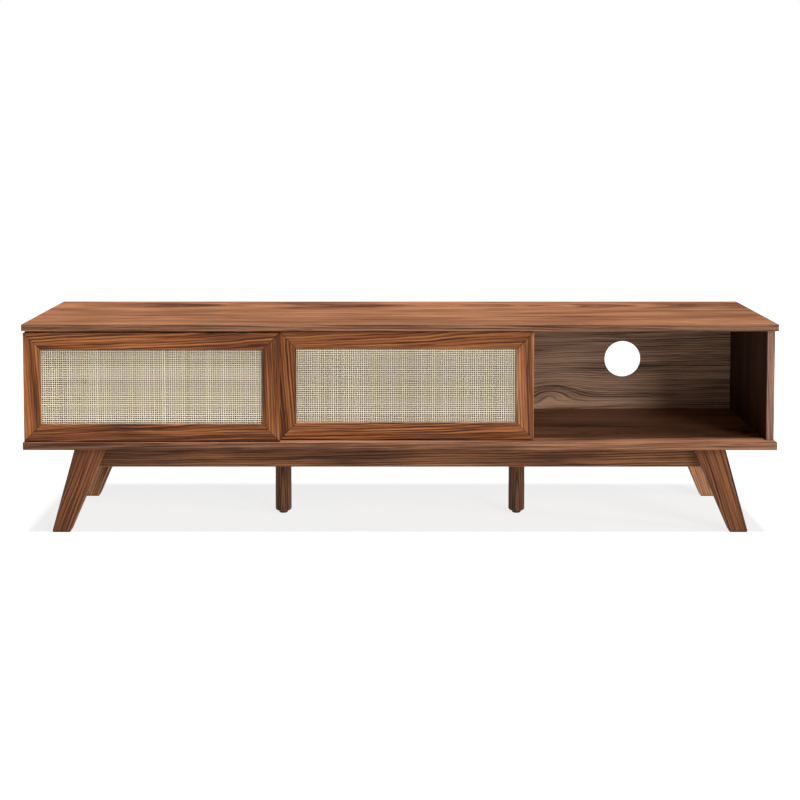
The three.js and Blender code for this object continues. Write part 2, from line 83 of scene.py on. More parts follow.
class Shader:
    """A material's node tree, with short calls for the nodes that the finishes need."""

    def __init__(self, name: str) -> None:
        """Starts a material with a plain surface.

        Args:
            name: Its name.
        """
        self.material = bpy.data.materials.new(name)
        self.material.use_nodes = True
        self.tree = self.material.node_tree
        self.surface = self.tree.nodes["Principled BSDF"].inputs

    def node(
        self,
        kind: str,
        settings: dict[str, object] | None = None,
        inputs: dict[int | str, object] | None = None,
    ) -> bpy.types.Node:
        """Adds one node.

        Args:
            kind: Blender's name of the node type, without its ShaderNode prefix.
            settings: The node's own properties.
            inputs: A socket to link or a value to set, by input name or number.

        Returns:
            The new node.
        """
        made = self.tree.nodes.new("ShaderNode" + kind)
        for name, value in (settings or {}).items():
            setattr(made, name, value)
        for key, value in (inputs or {}).items():
            self.feed(made.inputs[key], value)
        return made

    def feed(self, socket: Socket, value: object) -> None:
        """Links a socket to another one, or sets its value.

        Args:
            socket: The input socket.
            value: An output socket, or a number, vector or colour.
        """
        if isinstance(value, Socket):
            self.tree.links.new(value, socket)
        else:
            socket.default_value = value

    def math(self, operation: str, *values: object, clamp: bool = False) -> Socket:
        """One number worked out from others, kept between 0 and 1 if clamped."""
        settings = {"operation": operation, "use_clamp": clamp}
        return self.node("Math", settings, dict(enumerate(values))).outputs[0]

    def scaled(self, value: object, factor: object, rest: object = 0.0, clamp: bool = False) -> Socket:
        """The value times the factor, plus the rest."""
        return self.math("MULTIPLY_ADD", value, factor, rest, clamp=clamp)

    def square(self, value: Socket) -> Socket:
        """The value times itself."""
        return self.math("MULTIPLY", value, value)

    def vector(self, operation: str, first: Socket, second: Vector | Triple) -> Socket:
        """One vector worked out from two."""
        return self.node("VectorMath", {"operation": operation}, {0: first, 1: second}).outputs[0]

    def bundle(self, *parts: Socket) -> Socket:
        """Three numbers as one vector."""
        return self.node("CombineXYZ", None, dict(enumerate(parts))).outputs[0]

    def object_place(self) -> Socket:
        """Where a point lies in the object's own axes."""
        return self.node("TexCoord").outputs["Object"]

    def noise(self, place: Socket, scale: Triple, detail: float = 2.0, roughness: float = 0.5) -> Socket:
        """Smooth noise.

        Args:
            place: Where to read it.
            scale: How fast it changes along each axis of that place.
            detail: How many finer layers it holds.
            roughness: How strong the finer layers are.

        Returns:
            The noise, mostly near one half.
        """
        stretched = self.vector("MULTIPLY", place, scale)
        inputs = {"Vector": stretched, "Scale": 1.0, "Detail": detail, "Roughness": roughness}
        return self.node("TexNoise", None, inputs).outputs[0]

    def ramp(self, factor: Socket, places: tuple[float, ...], colours: tuple[Triple, ...]) -> Socket:
        """A colour band.

        Args:
            factor: Where along the band, from 0 to 1.
            places: Each stop's place on it, in order.
            colours: Each stop's linear colour.

        Returns:
            The colour.
        """
        node = self.node("ValToRGB", None, {0: factor})
        band = node.color_ramp.elements
        while len(band) < len(places):
            band.new(0.5)
        for element, place, colour in zip(band, places, colours):
            element.position = place
            element.color = (*colour, 1.0)
        return node.outputs[0]

    def darken(self, colour: Socket, share: Socket, to: Triple) -> Socket:
        """A colour multiplied by another one, as far as share goes from 0 to 1."""
        settings = {"data_type": "RGBA", "blend_type": "MULTIPLY"}
        return self.node("Mix", settings, {0: share, 6: colour, 7: (*to, 1.0)}).outputs[2]

    def cover(
        self, colour: Socket, roughness: Socket, height: Socket, depth: float, strength: float
    ) -> Material:
        """Gives the surface its colour, its gloss and its relief.

        Args:
            colour: The colour.
            roughness: The roughness.
            height: The relief's pattern.
            depth: The relief's full height.
            strength: How much of it counts.

        Returns:
            The finished material.
        """
        bump = self.node("Bump", None, {"Height": height, "Distance": depth, "Strength": strength})
        self.feed(self.surface["Base Color"], colour)
        self.feed(self.surface["Roughness"], roughness)
        self.feed(self.surface["Normal"], bump.outputs["Normal"])
        return self.material


# --- Finishes -----------------------------------------------------------------------------------


class Grain(Enum):
    """Which way a board's grain runs, as its order of axes along, across and into the face."""

    LONG_FLAT = ("X", "Y", "Z")
    LONG_UPRIGHT = ("X", "Z", "Y")
    TALL_FACE = ("Z", "X", "Y")
    TALL_SIDE = ("Z", "Y", "X")
    DEEP_FLAT = ("Y", "X", "Z")
    DEEP_EDGE = ("Y", "Z", "X")


@dataclass(frozen=True)
class Cut:
    """Where in the log a board was cut from.

    Attributes:
        grain: Which way the grain runs.
        centre: A point of the board that the figure is laid out from.
        seed: Picks the piece of wood, so that no two boards show the same figure.
        heart: How far under the board's face the middle of the log lies.
        offset: How far the middle of the log lies from the board's middle, across the grain.
        taper: How fast the rings run out of the face along the board.
        lean: Turn of the grain about the Y axis, in radians.
        eye: Place of an eye in the figure along and across the grain, and its lift, or None.
        shade: Painted shade: how much darker the face on the low side is painted, standing in for the shade
            that falls on it.
        tone: How much lighter than its kind the board is, or darker if below zero.
        fade: Painted light: change of that tone per metre along the board, for light that falls more
            strongly towards one end.
    """

    grain: Grain
    centre: Vector
    seed: int
    heart: float = 0.05
    offset: float = 0.0
    taper: float = 0.05
    lean: float = 0.0
    eye: Triple | None = None
    shade: float = 0.0
    tone: float = 0.0
    fade: float = 0.0


@dataclass(frozen=True)
class Walnut:
    """Walnut-grain laminate.

    Attributes:
        slot: The record's material slot; not used.
        colours: Of the late wood, of most of it and of the early wood.
        ring: Mean distance between rings.
        ring_strength: How much the rings show.
        band_strength: How much broad bands of tone show.
        line_strength: How much the fine lines show.
        streak: Share of the surface in dark streaks.
        wander: How far the rings wander from their line.
        roughness: Of the surface.
    """

    slot: str
    colours: tuple[Triple, ...]
    ring: float = 0.008
    ring_strength: float = 0.14
    band_strength: float = 0.9
    line_strength: float = 1.5
    streak: float = 0.4
    wander: float = 0.006
    roughness: float = 0.56

    def material(self, name: str, cut: Cut) -> Material:
        """The finish on one board, cut from there."""
        return Timber(name, self, cut).paint()


class Timber(Shader):
    """The node tree of one walnut-grain board."""

    # Year rings: stops from the start of one ring to the next, and how early the wood is there.
    RING_PLACES = (0.0, 0.12, 0.62, 0.93, 1.0)
    RING_TONES = (0.55, 1.0, 0.6, 0.0, 0.55)
    # How narrow an eye in the figure is along and across the grain, per metre.
    EYE_NARROWNESS = (14.0, 34.0)
    # What streaks, pores and painted shade on a face multiply the colour by.
    STREAK = (0.46, 0.38, 0.36)
    PORE = (0.70, 0.64, 0.60)
    PAINTED_SHADE = (0.2, 0.17, 0.16)

    def __init__(self, name: str, wood: Walnut, cut: Cut) -> None:
        """Starts the tree with the board's own axes.

        Args:
            name: The material's name.
            wood: The finish.
            cut: Where the board was cut from.
        """
        super().__init__(name)
        self.wood = wood
        self.cut = cut
        centred = self.vector("SUBTRACT", self.object_place(), cut.centre)
        turn = {"rotation_type": "Y_AXIS"}
        leaned = self.node("VectorRotate", turn, {"Vector": centred, "Angle": cut.lean}).outputs[0]
        parts = self.node("SeparateXYZ", None, {0: leaned}).outputs
        self.along, self.across, self.depth = (parts["XYZ".index(axis)] for axis in cut.grain.value)
        ordered = self.bundle(self.along, self.across, self.depth)
        self.place = self.vector("ADD", ordered, (cut.seed * 3.7, cut.seed * 1.3, cut.seed * 2.1))

    def paint(self) -> Material:
        """Gives the board its figure.

        Returns:
            The finished material.
        """
        wood, cut = self.wood, self.cut
        radius = self._radius()
        shift = cut.seed * 1.7
        grown = self.vector("ADD", self.bundle(self.along, radius, self.depth), (shift, shift, shift))
        bands = self.noise(grown, (1.5, 42.0, 8.0), 3.0, 0.55)
        lines = self.noise(grown, (3.2, 310.0, 12.0), 4.0, 0.62)
        fibre = self.noise(self.place, (10.0, 760.0, 760.0), 3.0, 0.6)
        patches = self.noise(self.place, (3.5, 10.0, 10.0))

        # Painted light: the board's tone rises or falls along it by its slope.
        own = self.scaled(self.along, cut.fade, 0.5 + cut.tone - wood.ring_strength / 2)
        tone = self.scaled(self._rings(radius), wood.ring_strength, own)
        weights = ((bands, wood.band_strength), (lines, wood.line_strength), (fibre, 0.8), (patches, 0.45))
        for pattern, weight in weights:
            tone = self.scaled(self.math("SUBTRACT", pattern, 0.5), weight, tone)
        colour = self.ramp(tone, (0.2, 0.5, 0.8), wood.colours)

        streaks = self.noise(grown, (5.5, 150.0, 30.0), 3.0, 0.6)
        colour = self.darken(
            colour, self.scaled(streaks, 9.0, 9.0 * (wood.streak - 1.0), clamp=True), self.STREAK
        )
        pores = self.noise(self.place, (70.0, 1500.0, 1500.0), 1.0)
        pore_share = self.scaled(pores, 6.0, -3.6, clamp=True)
        colour = self.darken(colour, pore_share, self.PORE)
        # Painted shade: darkens the face on the board's low side, where shade falls.
        if cut.shade:
            painted_shade_share = self.scaled(self.math("LESS_THAN", self.depth, 0.0), cut.shade)
            colour = self.darken(colour, painted_shade_share, self.PAINTED_SHADE)

        self.surface["Specular IOR Level"].default_value = 0.15
        gloss = self.scaled(fibre, 0.16, wood.roughness - 0.08)
        return self.cover(colour, gloss, self.scaled(pore_share, -0.6, fibre), 0.00018, 0.3)

    def _radius(self) -> Socket:
        """Distance from the wandering middle of the log that the board was sawn from.

        Returns:
            The distance.
        """
        cut, wander = self.cut, self.wood.wander
        drift = self.noise(self.place, (3.0, 9.0, 9.0), 3.0, 0.55).node.outputs["Color"]
        drifts = self.node("SeparateColor", None, {0: drift}).outputs
        side = self.scaled(drifts[0], wander * 2, self.across)
        side = self.math("SUBTRACT", side, cut.offset + wander)
        below = self.scaled(drifts[1], wander * 2, self.depth)
        below = self.scaled(self.along, cut.taper, below)
        below = self.math("ADD", below, cut.heart - wander)
        radius = self.math("SQRT", self.math("ADD", self.square(side), self.square(below)))
        return self.math("ADD", radius, self._eye(*cut.eye)) if cut.eye else radius

    def _rings(self, radius: Socket) -> Socket:
        """The year rings, from 0 in late wood to 1 in early wood."""
        ring = self.math("FRACT", self.math("DIVIDE", radius, self.wood.ring))
        return self.ramp(ring, self.RING_PLACES, tuple((tone, tone, tone) for tone in self.RING_TONES))

    def _eye(self, along: float, across: float, lift: float) -> Socket:
        """A swelling in the rings, which shows as closed loops.

        Args:
            along: Its place along the grain.
            across: Its place across the grain.
            lift: How far it lifts the rings.

        Returns:
            How far the rings are lifted at each point.
        """
        from_along = self.scaled(self.math("SUBTRACT", self.along, along), self.EYE_NARROWNESS[0])
        from_across = self.scaled(self.math("SUBTRACT", self.across, across), self.EYE_NARROWNESS[1])
        reach = self.math("ADD", self.square(from_along), self.square(from_across))
        return self.scaled(self.math("EXPONENT", self.scaled(reach, -1.0)), lift)


@dataclass(frozen=True)
class Cane:
    """Split cane, tinted strand by strand by the mesh's own tone attribute."""

    slot: str = "cane"
    colours: tuple[Triple, ...] = shades((146, 126, 98), (206, 192, 166), (232, 224, 204))

    def material(self, name: str, fibre: Triple) -> Material:
        """The finish on strands that run one way.

        Args:
            name: The material's name.
            fibre: How fast the fibre pattern changes along X, Y and Z.

        Returns:
            The material.
        """
        shader = Shader(name)
        fibres = shader.noise(shader.object_place(), fibre, 2.0, 0.6)
        tone = shader.node("Attribute", {"attribute_name": "tone"}).outputs["Fac"]
        mixed = shader.scaled(shader.math("SUBTRACT", fibres, 0.5), 0.9, tone)
        colour = shader.ramp(mixed, (0.05, 0.5, 0.95), self.colours)
        return shader.cover(colour, shader.scaled(fibres, 0.3, 0.4), fibres, 0.0001, 0.4)


@dataclass(frozen=True)
class Moulded:
    """Moulded plastic or felt: one colour with a fine even surface.

    Attributes:
        slot: The record's material slot; not used.
        colour: Main colour.
        roughness: Of the surface.
        speck: Size of its surface grain.
        height: Depth of its surface grain.
    """

    slot: str
    colour: Triple
    roughness: float
    speck: float
    height: float

    def material(self, name: str) -> Material:
        """The finish.

        Args:
            name: The material's name.

        Returns:
            The material.
        """
        shader = Shader(name)
        scale = 1 / self.speck
        grain = shader.noise(shader.object_place(), (scale, scale, scale), 3.0, 0.6)
        lighter = tuple(min(1.0, channel * 1.7 + 0.01) for channel in self.colour)
        darker = tuple(channel * 0.6 for channel in self.colour)
        colour = shader.ramp(grain, (0.3, 0.5, 0.75), (darker, self.colour, lighter))
        return shader.cover(colour, shader.scaled(grain, 0.2, self.roughness - 0.1), grain, self.height, 0.5)


@dataclass(frozen=True)
class Steel:
    """Zinc-plated steel with faint brushing."""

    slot: str = "steel"
    colour: Triple = linear(176, 178, 182)

    def material(self, name: str) -> Material:
        """The finish.

        Args:
            name: The material's name.

        Returns:
            The material.
        """
        shader = Shader(name)
        brushed = shader.noise(shader.object_place(), (900.0, 60.0, 900.0))
        darker = tuple(channel * 0.7 for channel in self.colour)
        colour = shader.ramp(brushed, (0.25, 0.7), (darker, self.colour))
        shader.surface["Metallic"].default_value = 1.0
        return shader.cover(colour, shader.scaled(brushed, 0.25, 0.2), brushed, 0.00003, 0.3)


TOP_WALNUT = Walnut(
    slot="top_walnut",
    colours=shades((66, 36, 22), (116, 74, 48), (150, 102, 70)),
    band_strength=0.75,
    line_strength=1.9,
    roughness=0.68,
)
TOP_EDGE_WALNUT = replace(TOP_WALNUT, colours=shades((60, 36, 24), (105, 71, 51), (138, 98, 74)))
CASE_WALNUT = Walnut(slot="case_walnut", colours=shades((58, 34, 22), (108, 70, 48), (144, 100, 74)))
# Edge banding of the standing boards, paler and pinker than their faces: partly the banding's own colour,
# partly painted sheen from the light on the right.
SIDE_EDGE_WALNUT_WITH_PAINTED_SHEEN = replace(CASE_WALNUT, colours=shades((61, 40, 31), (114, 82, 67), (152, 117, 102)))
DOOR_WALNUT = Walnut(
    slot="door_walnut",
    colours=shades((58, 28, 12), (112, 63, 31), (154, 96, 52)),
    ring=0.0052,
    ring_strength=0.28,
    band_strength=0.8,
    line_strength=1.9,
    wander=0.009,
)
# Painted sheen: a paler, pinker walnut for the door member nearest the light on the right.
DOOR_WALNUT_PAINTED_SHEEN = replace(DOOR_WALNUT, colours=shades((72, 38, 20), (134, 81, 48), (178, 118, 74)))
BASE_WALNUT = Walnut(
    slot="base_walnut",
    colours=shades((52, 30, 16), (104, 64, 38), (138, 92, 58)),
    ring=0.0055,
    ring_strength=0.34,
    band_strength=0.6,
    line_strength=1.7,
)
POST_WALNUT = replace(BASE_WALNUT, colours=shades((40, 22, 12), (78, 48, 28), (106, 70, 44)))
LEG_WALNUT = replace(BASE_WALNUT, colours=shades((50, 27, 14), (100, 57, 32), (132, 82, 49)))
# Painted light: the rear legs get lighter walnut, the right one most, standing in for the light that reaches
# them from the right.
REAR_LEG_WALNUT_PAINTED_LIGHT = {
    "rear_left": replace(BASE_WALNUT, colours=shades((66, 42, 26), (128, 84, 54), (166, 120, 84))),
    "rear_right": replace(BASE_WALNUT, colours=shades((96, 62, 40), (154, 106, 72), (192, 146, 107))),
}
BACK_WALNUT = Walnut(
    slot="back_walnut",
    colours=shades((72, 54, 41), (154, 121, 97), (196, 158, 130)),
    ring=0.0055,
    ring_strength=0.34,
    band_strength=0.6,
    wander=0.012,
    roughness=0.5,
)
PINE = Walnut(
    slot="pine",
    colours=shades((176, 138, 94), (214, 180, 132), (232, 206, 166)),
    ring=0.006,
    ring_strength=0.5,
    streak=0.25,
    roughness=0.6,
)
CANE = Cane()
NYLON = Moulded(slot="nylon", colour=linear(30, 30, 31), roughness=0.45, speck=0.0006, height=0.00004)
FELT = Moulded(slot="felt", colour=linear(44, 41, 38), roughness=0.95, speck=0.0009, height=0.0003)
STEEL = Steel()


# --- Shapes -------------------------------------------------------------------------------------


@dataclass(frozen=True)
class Pocket:
    """A groove or hole in one flat side of a board.

    Attributes:
        low: Lowest corner of its mouth.
        high: Highest corner of its mouth.
        axis: The axis that the side faces along.
        side: -1 for the low side, 1 for the high side.
        depth: How deep it is.
    """

    low: Vector
    high: Vector
    axis: int
    side: int
    depth: float


class Solid:
    """A closed shape under construction."""

    def __init__(self) -> None:
        """Starts with nothing in it."""
        self.mesh = bmesh.new()

    @classmethod
    def block(cls, limits: Limits) -> "Solid":
        """A box.

        Args:
            limits: Its lowest and highest corners.

        Returns:
            The solid.
        """
        low, high = limits
        solid = cls()
        bmesh.ops.create_cube(solid.mesh, size=1.0)
        bmesh.ops.scale(solid.mesh, vec=high - low, verts=solid.mesh.verts)
        bmesh.ops.translate(solid.mesh, vec=(low + high) / 2, verts=solid.mesh.verts)
        return solid

    @classmethod
    def turned(cls, profile: list[tuple[float, float]], centre: Vector, steps: int = 72) -> "Solid":
        """A profile turned about an upright axis.

        Args:
            profile: Radius and height of each point, starting and ending on the axis.
            centre: A point on the axis, whose own height doesn't count.
            steps: How many facets go round.

        Returns:
            The solid.
        """
        solid = cls()
        points = [solid.mesh.verts.new((radius, 0.0, height)) for radius, height in profile]
        edges = [solid.mesh.edges.new(pair) for pair in zip(points, points[1:])]
        bmesh.ops.spin(
            solid.mesh,
            geom=points + edges,
            axis=(0, 0, 1),
            cent=(0, 0, 0),
            angle=2 * math.pi,
            steps=steps,
            use_merge=True,
        )
        bmesh.ops.remove_doubles(solid.mesh, verts=solid.mesh.verts, dist=NEAR)
        bmesh.ops.translate(solid.mesh, vec=(centre.x, centre.y, 0), verts=solid.mesh.verts)
        solid.face_outwards()
        return solid

    def face_outwards(self) -> None:
        """Turns every face to the outside."""
        bmesh.ops.recalc_face_normals(self.mesh, faces=self.mesh.faces)

    def _slice(self, faces: list[bmesh.types.BMFace], axis: int, place: float) -> None:
        """Splits faces along a plane across one axis.

        Args:
            faces: The faces to split.
            axis: The axis that the plane is square to.
            place: Where the plane lies on it.
        """
        edges = {e for f in faces for e in f.edges}
        corners = {v for f in faces for v in f.verts}
        normal = Vector([float(a == axis) for a in range(3)])
        geometry = [*faces, *edges, *corners]
        bmesh.ops.bisect_plane(
            self.mesh, geom=geometry, dist=EXACT, plane_co=normal * place, plane_no=normal
        )

    def carve(self, pocket: Pocket) -> None:
        """Cuts a pocket into one flat side of a box.

        Args:
            pocket: The pocket.
        """
        low, high, axis = pocket.low, pocket.high, pocket.axis
        pick = max if pocket.side > 0 else min
        surface = pick(v.co[axis] for v in self.mesh.verts)

        def on_side() -> list[bmesh.types.BMFace]:
            """The faces that lie in the side now."""
            return [f for f in self.mesh.faces if all(abs(v.co[axis] - surface) < NEAR for v in f.verts)]

        others = [a for a in range(3) if a != axis]
        for other in others:
            for place in (low[other], high[other]):
                self._slice(on_side(), other, place)
        inside = [
            f
            for f in on_side()
            if all(low[a] - NEAR < f.calc_center_median()[a] < high[a] + NEAR for a in others)
        ]
        made = bmesh.ops.extrude_face_region(self.mesh, geom=inside)
        for vert in made["geom"]:
            if isinstance(vert, bmesh.types.BMVert):
                vert.co[axis] = surface - pocket.side * pocket.depth

    def soften(self, width: float, least_angle: float = 30.0) -> None:
        """Rounds every edge that turns by more than an angle in degrees, as far as width from it."""
        limit = math.radians(least_angle)
        self._bevel([e for e in self.mesh.edges if e.is_manifold and e.calc_face_angle() > limit], width)

    def soften_outline(self, width: float) -> None:
        """Rounds the twelve outer edges of a box, and none of its pockets' edges.

        Args:
            width: How far the rounding reaches from each edge.
        """
        corners = [v.co for v in self.mesh.verts]
        low = Vector(map(min, *corners))
        high = Vector(map(max, *corners))
        chosen = []
        for edge in self.mesh.edges:
            first, second = (v.co for v in edge.verts)
            shared = sum(
                abs(first[a] - second[a]) < EXACT and min(first[a] - low[a], high[a] - first[a]) < NEAR
                for a in range(3)
            )
            if shared >= 2:
                chosen.append(edge)
        self._bevel(chosen, width)

    def _bevel(self, edges: list[bmesh.types.BMEdge], width: float) -> None:
        """Bevels the given edges."""
        bmesh.ops.bevel(
            self.mesh,
            geom=edges,
            offset=width,
            offset_type="OFFSET",
            segments=3,
            profile=0.5,
            affect="EDGES",
            clamp_overlap=True,
            material=-1,
        )

    def finish(self, name: str, smooth_under: float = 0.0) -> Piece:
        """Makes the object.

        Args:
            name: Its name.
            smooth_under: Edges that turn by less than this angle, in degrees, are shaded smooth.

        Returns:
            The object, linked to the scene.
        """
        data = bpy.data.meshes.new(name)
        self.mesh.to_mesh(data)
        self.mesh.free()
        if smooth_under:
            data.shade_smooth()
            data.set_sharp_from_angle(angle=math.radians(smooth_under))
        made = bpy.data.objects.new(name, data)
        bpy.context.scene.collection.objects.link(made)
        return made


def dress(piece: Piece, material: Material) -> None:
    """Gives a piece one material all over."""
    piece.data.materials.clear()
    piece.data.materials.append(material)


def stand_for(piece: Piece, node: str, body: str) -> None:
    """Puts a new piece in a frame node's place.

    Args:
        piece: The new piece.
        node: The node that it stands for.
        body: The body that it moves with.
    """
    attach(piece, body)
    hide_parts(node)
    log.info("%s stands for %s on %s, %d faces", piece.name, node, body, len(piece.data.polygons))


def middle(limits: Limits) -> Vector:
    """The middle of a box."""
    return (limits[0] + limits[1]) / 2


def cut_for(node: str, grain: Grain, seed: int, **facts: object) -> Cut:
    """The cut of a frame node's wood, laid out from the node's middle."""
    return Cut(grain=grain, centre=middle(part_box(node)), seed=seed, **facts)


@dataclass(frozen=True)
class Edging:
    """Edge banding on a board.

    Attributes:
        axis: The axis that the banded edges face along.
        finish: Their finish.
        grain: Which way their grain runs.
        cut: Further facts about where in the log they come from.
    """

    axis: int
    finish: Walnut
    grain: Grain
    cut: dict[str, object] = field(default_factory=dict)


@dataclass
class Board:
    """A rectangular board of the case or base that takes a frame node's place.

    Attributes:
        node: The frame node.
        finish: Its finish.
        grain: Which way its grain runs.
        seed: Picks its figure.
        cut: Further facts about where in the log it comes from.
        pockets: Its grooves.
        edgings: Edge banding, where its edges differ from its faces.
        arris: Rounding of its edges.
        squareness: Least part of a face's normal along an axis for the face to be on that side.
    """

    node: str
    finish: Walnut
    grain: Grain
    seed: int
    cut: dict[str, object]
    pockets: list[Pocket] = field(default_factory=list)
    edgings: tuple[Edging, ...] = ()
    arris: float = 0.0008
    squareness: float = 0.9

    def build(self) -> None:
        """Builds and dresses the board."""
        solid = Solid.block(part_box(self.node))
        for pocket in self.pockets:
            solid.carve(pocket)
        solid.soften_outline(self.arris)
        piece = solid.finish(self.node + "_board")
        cut = cut_for(self.node, self.grain, self.seed, **self.cut)
        dress(piece, self.finish.material(self.node + "_walnut", cut))
        for number, edging in enumerate(self.edgings, start=1):
            band = replace(cut, grain=edging.grain, seed=self.seed + number, **edging.cut)
            piece.data.materials.append(edging.finish.material(f"{self.node}_edging_{number}", band))
            for face in piece.data.polygons:
                if abs(face.normal[edging.axis]) > self.squareness:
                    face.material_index = number
        stand_for(piece, self.node, CASE)


# --- Case ---------------------------------------------------------------------------------------


@dataclass
class Case:
    """Top, bottom, sides, dividers and back.

    Attributes:
        groove_depth: Depth of the grooves that hold the back panels.
        seam: Air between a back panel and its groove.
        lower_track: Depth of the door grooves in the bottom panel.
        upper_track: Depth of the door grooves in the top panel.
        track_width: Width of the door grooves.
        track_ends: Half the length of the front and the rear door grooves.
        end_wall: Wood left at the closed ends of a groove in a standing board.
    """

    groove_depth: float = 0.006
    seam: float = 0.0003
    lower_track: float = 0.004
    upper_track: float = 0.008
    track_width: float = 0.004
    track_ends: tuple[float, float] = (0.8163, 0.7953)
    end_wall: float = 0.001

    def build(self) -> None:
        """Builds the case."""
        self._panels()
        self._standing_boards()
        self._backs()

    def _back_limits(self) -> tuple[float, float]:
        """The grooves' limits along Y, just clear of the back panels."""
        low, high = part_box("middle_back_panel")
        return low.y - self.seam, high.y + self.seam

    def _panels(self) -> None:
        """Top and bottom panels, with grooves for doors and back."""
        Board(
            node="top_panel",
            finish=TOP_WALNUT,
            grain=Grain.LONG_FLAT,
            seed=3,
            cut={"heart": 0.16, "offset": 0.12, "taper": 0.02},
            pockets=self._lying_grooves(-1, self.upper_track),
            edgings=(
                Edging(0, TOP_EDGE_WALNUT, Grain.DEEP_EDGE),
                Edging(1, TOP_EDGE_WALNUT, Grain.LONG_UPRIGHT),
            ),
        ).build()
        Board(
            node="bottom_panel",
            finish=CASE_WALNUT,
            grain=Grain.LONG_FLAT,
            seed=7,
            cut={"heart": 0.13, "offset": -0.1, "taper": 0.02, "tone": 0.1},
            pockets=self._lying_grooves(1, self.lower_track),
            edgings=(
                Edging(0, CASE_WALNUT, Grain.DEEP_EDGE, {"tone": -0.04}),
                # Painted light: the front edge grows lighter towards the right, where the light comes from.
                Edging(1, CASE_WALNUT, Grain.LONG_UPRIGHT, {"tone": -0.07, "fade": 0.1}),
            ),
        ).build()

    def _lying_grooves(self, side: int, track: float) -> list[Pocket]:
        """The grooves in the top or bottom panel.

        Args:
            side: Which side of the panel they open on.
            track: Depth of the door grooves.

        Returns:
            Two grooves for the doors and one for the back.
        """
        grooves = []
        for door, half in zip(("front_door", "rear_door"), self.track_ends):
            y = middle(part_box(door + "_left_stile")).y
            low = Vector((-half, y - self.track_width / 2, 0))
            high = Vector((half, y + self.track_width / 2, 0))
            grooves.append(Pocket(low, high, 2, side, track))
        low_y, high_y = self._back_limits()
        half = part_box("right_back_panel")[1].x + self.seam
        low, high = Vector((-half, low_y, 0)), Vector((half, high_y, 0))
        return [*grooves, Pocket(low, high, 2, side, self.groove_depth)]

    def _standing_boards(self) -> None:
        """Side panels and dividers, grooved for the back panels."""
        for side, sign in SIDES:
            for kind, facings, seed in (("side_panel", (-sign,), 11), ("divider", (-1, 1), 13)):
                node = f"{side}_{kind}"
                # Painted shade: the right side panel's inner face is painted dark, for the shade in the
                # right bay that the light from the right can't reach.
                shade = 0.9 if node == "right_side_panel" else 0.0
                Board(
                    node=node,
                    finish=CASE_WALNUT,
                    grain=Grain.TALL_SIDE,
                    seed=seed + sign,
                    cut={"heart": 0.12, "offset": 0.06, "taper": 0.05, "shade": shade},
                    pockets=[self._upright_groove(node, facing) for facing in facings],
                    edgings=(Edging(1, SIDE_EDGE_WALNUT_WITH_PAINTED_SHEEN, Grain.TALL_FACE, {"shade": 0.0}),),
                ).build()

    def _upright_groove(self, node: str, facing: int) -> Pocket:
        """The groove for a back panel in one face of a standing board.

        Args:
            node: The board.
            facing: -1 for its left face, 1 for its right face.

        Returns:
            The groove.
        """
        low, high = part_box(node)
        low_y, high_y = self._back_limits()
        foot = Vector((0, low_y, low.z + self.end_wall))
        head = Vector((0, high_y, high.z - self.end_wall))
        return Pocket(foot, head, 0, facing, self.groove_depth)

    def _backs(self) -> None:
        """Finishes the three back panels."""
        # Each bay's back panel: its eye in the figure and its painted shade; the left and middle backs,
        # behind the doors, get painted shade on their fronts.
        bays = (
            ("left", (0.1, 0.04, 0.014), 0.8),
            ("middle", (-0.05, 0.06, 0.014), 0.8),
            ("right", (-0.19, -0.085, 0.028), 0.0),
        )
        for seed, (bay, eye, shade) in enumerate(bays, start=17):
            node = bay + "_back_panel"
            facts = {"heart": 0.06, "offset": 0.15, "taper": 0.04, "eye": eye, "shade": shade}
            cut = cut_for(node, Grain.LONG_UPRIGHT, seed, **facts)
            dress(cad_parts[node], BACK_WALNUT.material(node + "_walnut", cut))
            log.info("%s keeps its shape", node)


# --- Doors --------------------------------------------------------------------------------------


